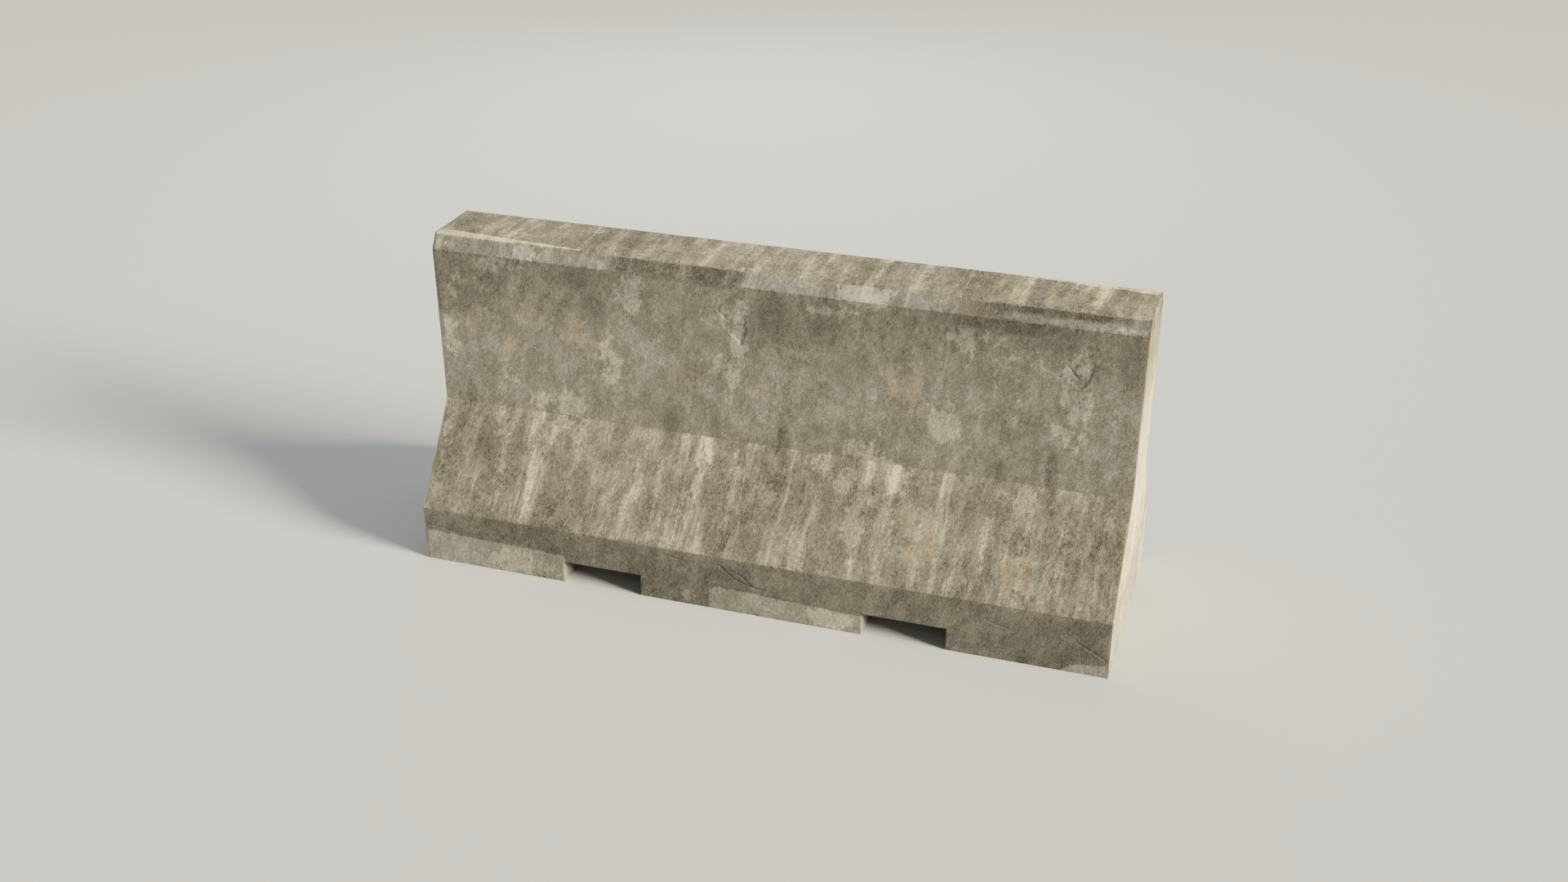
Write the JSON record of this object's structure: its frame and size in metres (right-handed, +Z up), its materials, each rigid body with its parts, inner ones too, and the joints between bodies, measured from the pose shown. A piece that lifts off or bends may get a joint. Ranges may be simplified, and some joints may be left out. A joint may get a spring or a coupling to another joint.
{
  "type": "concrete jersey barrier",
  "caption": "Precast concrete jersey barrier with a stepped profile, a bevelled flat top, two fork slots through its base and an embedded reinforcement cage; it separates traffic lanes.",
  "frame": {"origin": "centre of the footprint, on the ground", "axes": "+X along the barrier, +Y across it towards its rear face, +Z up"},
  "size_m": [1.728, 0.544, 0.81],
  "materials": {
    "concrete": "weathered cast concrete, matt",
    "rebar": "hot rolled with light rust",
    "tying_wire": "black annealed wire",
    "spacer_plastic": "moulded polypropylene, matt",
    "mortar": "cast mortar, matt"
  },
  "bodies": {
    "root": {"concrete_casting": "concrete", "hairpin_1": "rebar", "hairpin_2": "rebar", "hairpin_3": "rebar", "hairpin_4": "rebar", "hairpin_5": "rebar", "hairpin_6": "rebar", "hairpin_7": "rebar", "hairpin_8": "rebar", "hairpin_9": "rebar", "base_tie_1": "rebar", "base_tie_2": "rebar", "base_tie_3": "rebar", "base_tie_4": "rebar", "base_tie_5": "rebar", "base_tie_6": "rebar", "base_tie_7": "rebar", "base_tie_8": "rebar", "base_tie_9": "rebar", "slot_bar_1": "rebar", "slot_bar_2": "rebar", "slot_bar_3": "rebar", "slot_bar_4": "rebar", "top_bar_front": "rebar", "top_bar_rear": "rebar", "stem_bar_front": "rebar", "stem_bar_rear": "rebar", "waist_bar_front": "rebar", "waist_bar_rear": "rebar", "toe_bar_front": "rebar", "toe_bar_rear": "rebar", "base_bar_front": "rebar", "base_bar_rear": "rebar", "foot_bars_left": "rebar", "foot_bars_middle": "rebar", "foot_bars_right": "rebar", "wheel_spacers_front": "spacer_plastic", "wheel_spacers_rear": "spacer_plastic", "block_spacers_left": "mortar", "block_spacers_middle": "mortar", "block_spacers_right": "mortar", "tie_wires_1": "tying_wire", "tie_wires_2": "tying_wire", "tie_wires_3": "tying_wire", "tie_wires_4": "tying_wire", "tie_wires_5": "tying_wire", "tie_wires_6": "tying_wire", "tie_wires_7": "tying_wire", "tie_wires_8": "tying_wire", "tie_wires_9": "tying_wire", "slot_tie_wires": "tying_wire"}
  },
  "joints": []
}
